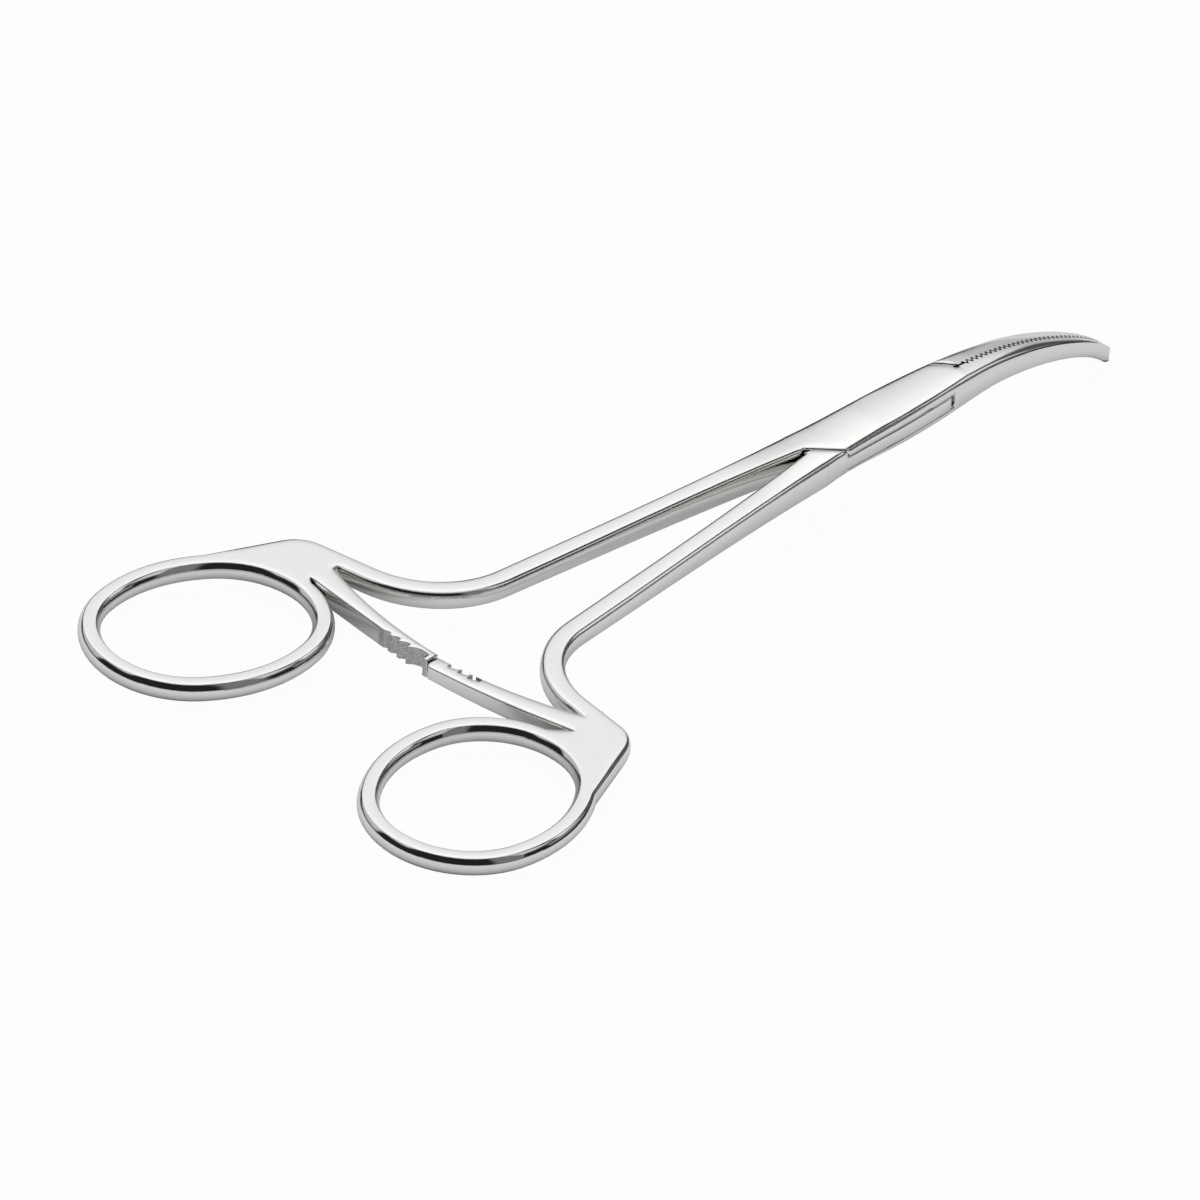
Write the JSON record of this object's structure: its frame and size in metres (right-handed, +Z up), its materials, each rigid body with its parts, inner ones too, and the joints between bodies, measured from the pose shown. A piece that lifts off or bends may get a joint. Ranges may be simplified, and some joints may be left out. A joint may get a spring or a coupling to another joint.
{
  "type": "hemostat forceps",
  "caption": "Curved locking forceps with finger rings, a ratchet between the shanks, a box lock and fully serrated curved jaws.",
  "frame": {"origin": "middle of the bounding box's base, on the table that the closed instrument lies on", "axes": "+X towards the tips of the jaws, +Y towards the ring of the female half, +Z up; the instrument's own plane leans 3.01 degrees, box up, because it lies on its ring ends and on the down-curved tips"},
  "size_m": [0.1252, 0.0596, 0.008],
  "materials": {
    "polished_stainless": "mirror polished, with blasted ratchet teeth",
    "pin_stainless": "ground and polished flush"
  },
  "bodies": {
    "female": {"female_half": "polished_stainless", "lock_pin": "pin_stainless"},
    "male": {"male_half": "polished_stainless"}
  },
  "joints": [
    {"name": "box_lock", "type": "hinge", "parent": "female", "child": "male", "pos_m": [0.02817, -0.0006, 0.00577], "axis": [-0.0525, 0, 0.9986], "range_deg": [0, 40]}
  ]
}
